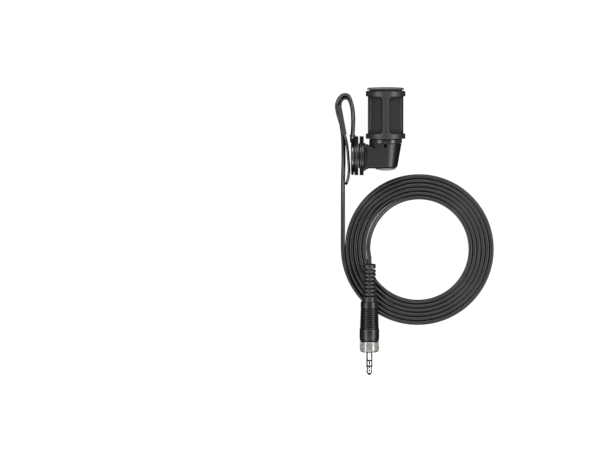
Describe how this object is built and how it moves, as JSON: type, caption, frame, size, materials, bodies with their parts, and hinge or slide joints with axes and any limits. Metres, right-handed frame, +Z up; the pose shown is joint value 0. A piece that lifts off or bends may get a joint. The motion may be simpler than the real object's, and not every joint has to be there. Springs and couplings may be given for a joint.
{
  "type": "lavalier microphone",
  "caption": "Lavalier microphone with a caged capsule head on a swivel elbow, a bent-wire garment clip, a coiled thin cable and a locking stereo plug.",
  "frame": {"origin": "bottom centre of the microphone head and its clip, without the free cable and plug, on the surface that the object lies on", "axes": "+Y along the microphone's sound axis, out of the mesh cap; +X along the swivel axis from the clip to the head; +Z up from the surface"},
  "size_m": [0.0951, 0.1696, 0.0234],
  "materials": {
    "black_plastic": "satin black moulding",
    "grey_plastic": "matte dark grey moulding",
    "black_rubber": "matte",
    "mesh": "black woven wire",
    "foam": "open-cell foam",
    "black_wire": "glossy black",
    "cable_jacket": "satin",
    "nickel": "nickel plated",
    "steel": "plain",
    "board": "circuit board",
    "copper": "insulated lead"
  },
  "bodies": {
    "cable_side": {"tongue_wire": "black_wire", "cable_keeper": "grey_plastic", "held_cable_front": "cable_jacket", "cable_run": "cable_jacket", "cable_coil": "cable_jacket", "cable_tail": "cable_jacket", "strain_relief": "black_rubber", "plug_sleeve": "black_plastic", "plug_core": "grey_plastic", "cable_clamp": "steel", "plug_cable_end": "cable_jacket", "jack_sleeve_contact": "nickel", "rear_insulator": "black_plastic", "jack_ring_contact": "nickel", "front_insulator": "black_plastic", "jack_tip_contact": "nickel"},
    "clip_side": {"ring_wire": "black_wire", "clip_base": "black_plastic", "base_cover": "black_plastic", "friction_washer": "steel", "cable_grommet": "black_rubber", "held_cable_rear": "cable_jacket"},
    "mic_head": {"windscreen_cage": "black_plastic", "top_mesh_cap": "mesh", "side_mesh": "mesh", "foam_sleeve": "foam", "foam_disc": "foam", "capsule_holder": "black_plastic", "capsule_mount": "black_rubber", "capsule_body": "nickel", "capsule_felt": "foam", "capsule_board": "board", "neck_collar": "black_plastic", "elbow_housing": "black_plastic", "elbow_cover": "black_plastic", "lead_live": "copper", "lead_screen": "copper", "swivel_flange": "black_plastic", "swivel_axle": "steel", "axle_retainer": "steel"},
    "nut": {"locking_nut": "nickel"}
  },
  "joints": [
    {"name": "clip_open", "type": "hinge", "parent": "cable_side", "child": "clip_side", "pos_m": [-0.0144, 0.0239, 0.0117], "axis": [0, 0, 1], "range_deg": [0, 10], "stiffness_Nm_per_rad": 0.15, "springref_deg": -5.73},
    {"name": "head_swivel", "type": "hinge", "parent": "clip_side", "child": "mic_head", "pos_m": [0, -0.01115, 0.0117], "axis": [1, 0, 0], "range_deg": [-90, 150]},
    {"name": "nut_spin", "type": "hinge", "parent": "cable_side", "child": "nut", "pos_m": [-0.0003, -0.12745, 0.0057], "axis": [0, 0.9956, 0.0941], "continuous": true}
  ]
}
